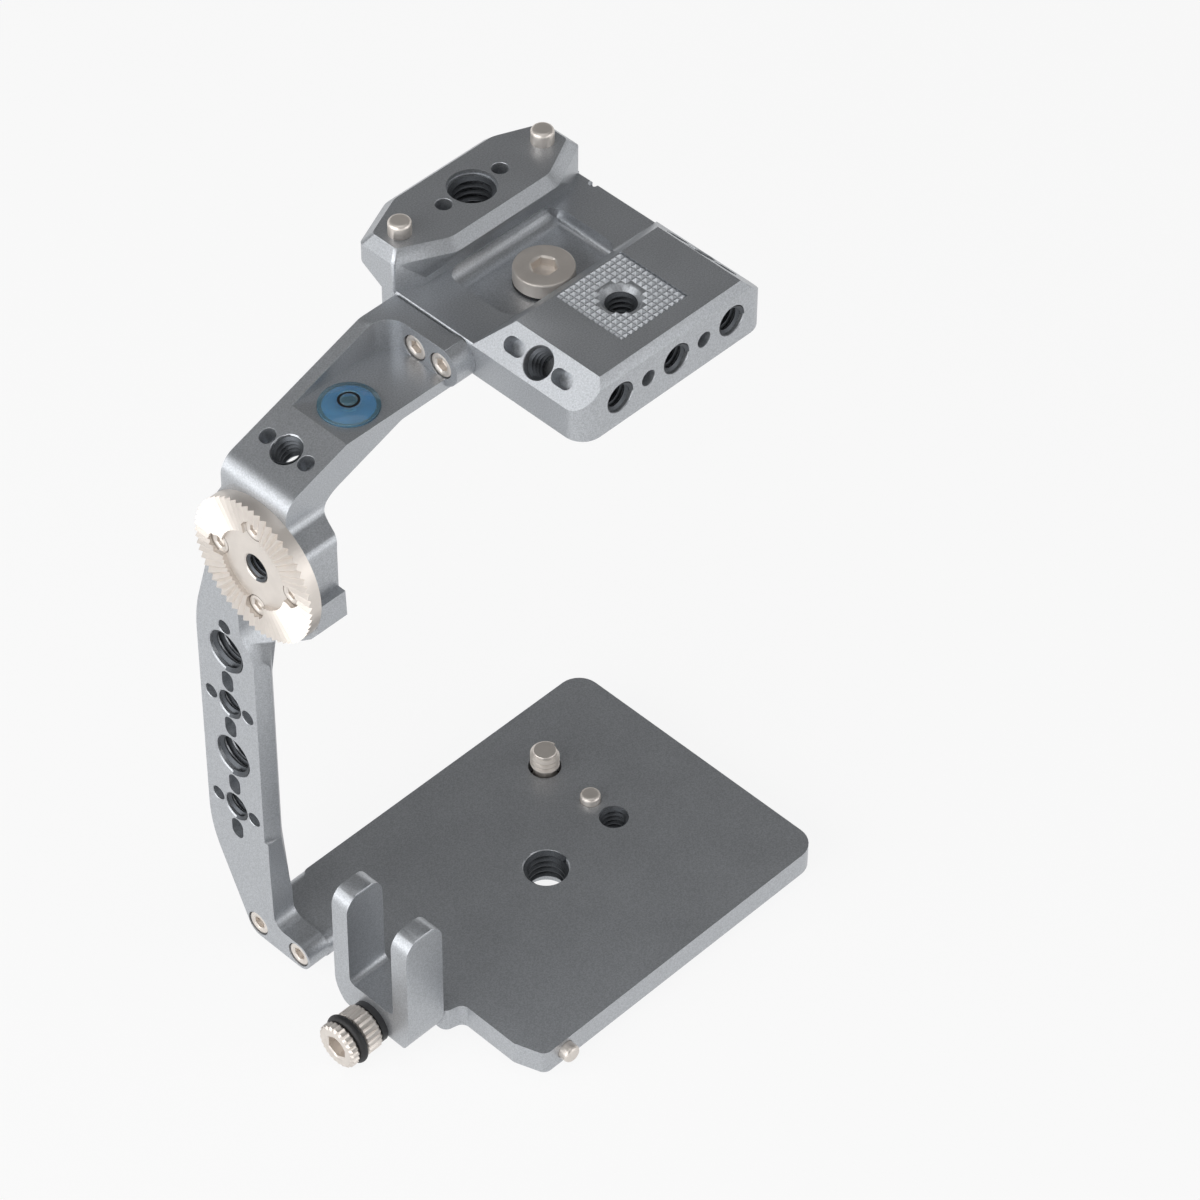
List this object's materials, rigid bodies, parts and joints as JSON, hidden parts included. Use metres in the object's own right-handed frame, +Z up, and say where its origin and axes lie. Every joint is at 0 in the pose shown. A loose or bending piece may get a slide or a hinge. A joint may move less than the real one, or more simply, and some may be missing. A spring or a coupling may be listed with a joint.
{
  "type": "camera cage",
  "caption": "Half camera cage: base plate, side plate, arm with toothed rosette and bubble level, top plate with riser, and a cable clamp with knurled thumb screw.",
  "frame": {"origin": "centre of the 1/4-20 tripod socket at the tripod pad's underside, straight below the platform's thread", "axes": "+X to the right of a camera operator, +Y forward along the lens, +Z up"},
  "size_m": [0.1069, 0.0874, 0.161],
  "materials": {
    "anodised": "bead-blasted space-grey anodised",
    "steel": "turned stainless, satin",
    "washer": "matte black nylon",
    "vial": "clear blue acrylic",
    "liquid": "blue spirit",
    "black": "printed black",
    "o_ring": "black rubber"
  },
  "bodies": {
    "frame": {"top_plate": "anodised", "locating_pins": "steel", "arm": "anodised", "arm_screws": "steel", "level_vial": "vial", "level_liquid": "liquid", "level_ring": "black", "rosette": "steel", "rosette_screws": "steel", "side_plate": "anodised", "shelf_screws": "steel", "foot_screws": "steel", "base_plate": "anodised", "anti_twist_pin": "steel", "rear_stop_pin": "steel"},
    "top_screw_carrier": {"top_screw_washer": "washer"},
    "top_screw_body": {"top_screw": "steel"},
    "camera_screw_carrier": {"camera_screw_washer": "washer"},
    "camera_screw_body": {"camera_screw": "steel"},
    "clamp": {"cable_clamp": "anodised", "clamp_washer": "washer"},
    "thumb_screw": {"clamp_knob": "steel", "clamp_o_ring": "o_ring"}
  },
  "joints": [
    {"name": "top_screw_lift", "type": "slide", "parent": "frame", "child": "top_screw_carrier", "axis": [0, 0, 1], "range_m": [0, 0.00508]},
    {"name": "top_screw_turn", "type": "hinge", "parent": "top_screw_carrier", "child": "top_screw_body", "pos_m": [0, 0.0204, 0.15], "axis": [0, 0, 1], "range_deg": [0, 1440]},
    {"name": "camera_screw_drop", "type": "slide", "parent": "frame", "child": "camera_screw_carrier", "axis": [0, 0, -1], "range_m": [0, 0.0019]},
    {"name": "camera_screw_turn", "type": "hinge", "parent": "camera_screw_carrier", "child": "camera_screw_body", "pos_m": [0, 0.0204, 0.004], "axis": [0, 0, -1], "range_deg": [0, 540]},
    {"name": "clamp_slide", "type": "slide", "parent": "frame", "child": "clamp", "axis": [-1, 0, 0], "range_m": [0, 0.0042]},
    {"name": "knob_turn", "type": "hinge", "parent": "clamp", "child": "thumb_screw", "pos_m": [-0.075, -0.0023, 0.00645], "axis": [-1, 0, 0], "range_deg": [0, 2160]}
  ],
  "couplings": [
    {"joint": "top_screw_turn", "follows": "top_screw_lift", "rad_per_m": 4947.4},
    {"joint": "camera_screw_turn", "follows": "camera_screw_drop", "rad_per_m": 4947.4},
    {"joint": "knob_turn", "follows": "clamp_slide", "rad_per_m": 8976}
  ]
}
